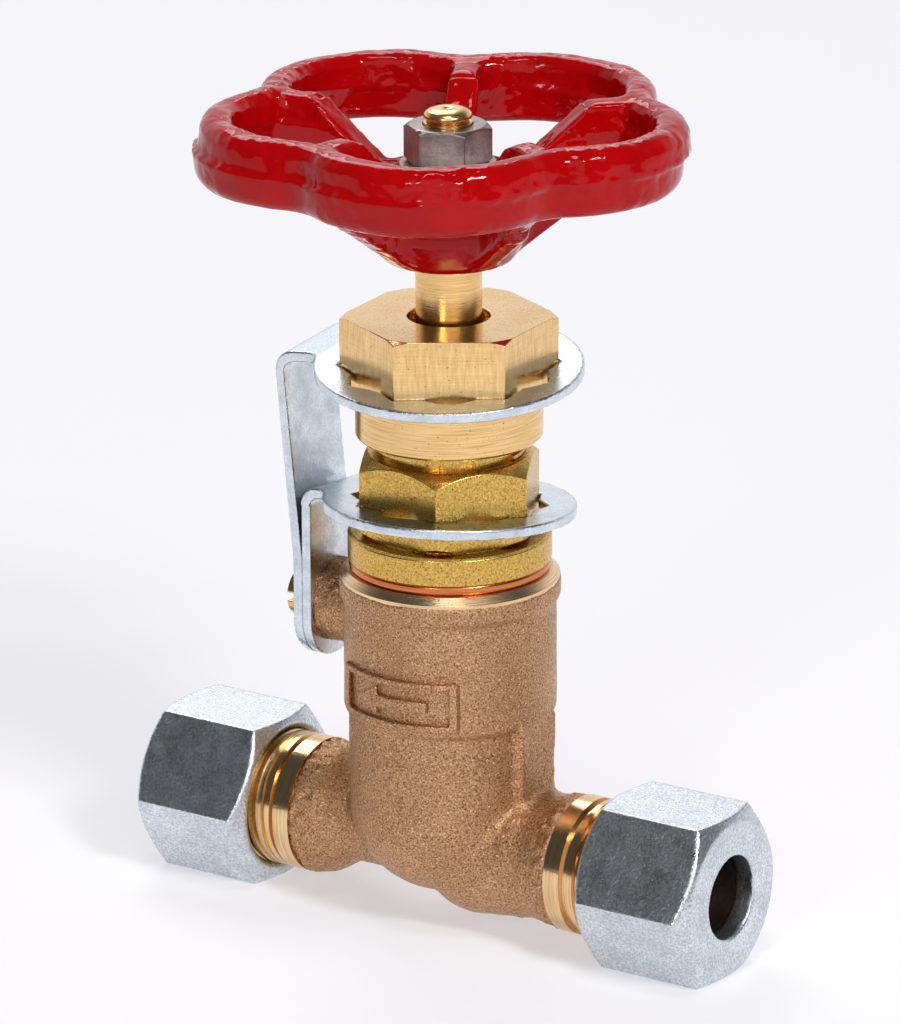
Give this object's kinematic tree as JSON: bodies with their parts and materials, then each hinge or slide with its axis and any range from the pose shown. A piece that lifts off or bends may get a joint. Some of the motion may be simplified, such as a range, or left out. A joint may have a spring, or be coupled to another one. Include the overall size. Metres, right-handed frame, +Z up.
{
  "type": "isolating valve",
  "caption": "Bronze screw-down isolating valve with a lobed handwheel, compression nuts for tube at both ends, and bent plates that lock the bonnet and gland nut.",
  "frame": {"origin": "on the stem axis, at the height of the flats of the compression nuts that the valve stands on", "axes": "+Z up the stem to the handwheel; +X along the flow axis, out of the inlet under the seat; +Y completes a right-handed frame, away from the viewer of the picture"},
  "size_m": [0.095, 0.0688, 0.1212],
  "materials": {
    "cast_bronze": "sand-cast bronze, grainy",
    "turned_bronze": "threaded and turned bronze",
    "bonnet_brass": "turned brass with fine pits",
    "copper_sheet": "plain copper sheet",
    "turned_brass": "turned, satin",
    "milled_brass": "milled flats, turned skirt",
    "screw_brass": "plain brass",
    "packing_graphite": "pressed packing",
    "red_enamel": "glossy enamel on cast iron",
    "plain_steel": "bare machined steel",
    "zinc_sheet": "zinc-plated pressed sheet",
    "zinc_steel": "zinc-plated, milled flats"
  },
  "bodies": {
    "valve_body": {"body": "cast_bronze", "inlet_spigot": "turned_bronze", "outlet_spigot": "turned_bronze", "bonnet": "bonnet_brass", "bonnet_gasket": "copper_sheet", "packing_washer": "turned_brass", "packing_ring_lower": "packing_graphite", "packing_ring_middle": "packing_graphite", "packing_ring_upper": "packing_graphite", "gland_follower": "turned_brass", "gland_nut": "milled_brass", "gland_lock_plate": "zinc_sheet", "bonnet_lock_plate": "zinc_sheet", "lock_plate_screw": "screw_brass"},
    "disc_carrier": {"disc": "turned_brass", "disc_nut": "turned_brass"},
    "spindle": {"stem": "turned_brass", "handwheel": "red_enamel", "handwheel_washer": "plain_steel", "handwheel_nut": "plain_steel"},
    "inlet_ring": {"inlet_cutting_ring": "plain_steel"},
    "inlet_union": {"inlet_nut": "zinc_steel"},
    "outlet_ring": {"outlet_cutting_ring": "plain_steel"},
    "outlet_union": {"outlet_nut": "zinc_steel"}
  },
  "joints": [
    {"name": "disc_lift", "type": "slide", "parent": "valve_body", "child": "disc_carrier", "axis": [0, 0, 1], "range_m": [0, 0.005]},
    {"name": "wheel_turn", "type": "hinge", "parent": "disc_carrier", "child": "spindle", "pos_m": [0, 0, 0.1], "axis": [0, 0, 1], "range_deg": [0, 900]},
    {"name": "inlet_nut_travel", "type": "slide", "parent": "valve_body", "child": "inlet_ring", "axis": [1, 0, 0], "range_m": [0, 0.0105]},
    {"name": "inlet_nut_turn", "type": "hinge", "parent": "inlet_ring", "child": "inlet_union", "pos_m": [0.04, 0, 0.012], "axis": [1, 0, 0], "range_deg": [0, 2520]},
    {"name": "outlet_nut_travel", "type": "slide", "parent": "valve_body", "child": "outlet_ring", "axis": [-1, 0, 0], "range_m": [0, 0.0105]},
    {"name": "outlet_nut_turn", "type": "hinge", "parent": "outlet_ring", "child": "outlet_union", "pos_m": [-0.04, 0, 0.012], "axis": [-1, 0, 0], "range_deg": [0, 2520]}
  ],
  "couplings": [
    {"joint": "disc_lift", "follows": "wheel_turn", "m_per_rad": 0.0003183},
    {"joint": "inlet_nut_travel", "follows": "inlet_nut_turn", "m_per_rad": 0.0002387},
    {"joint": "outlet_nut_travel", "follows": "outlet_nut_turn", "m_per_rad": 0.0002387}
  ]
}
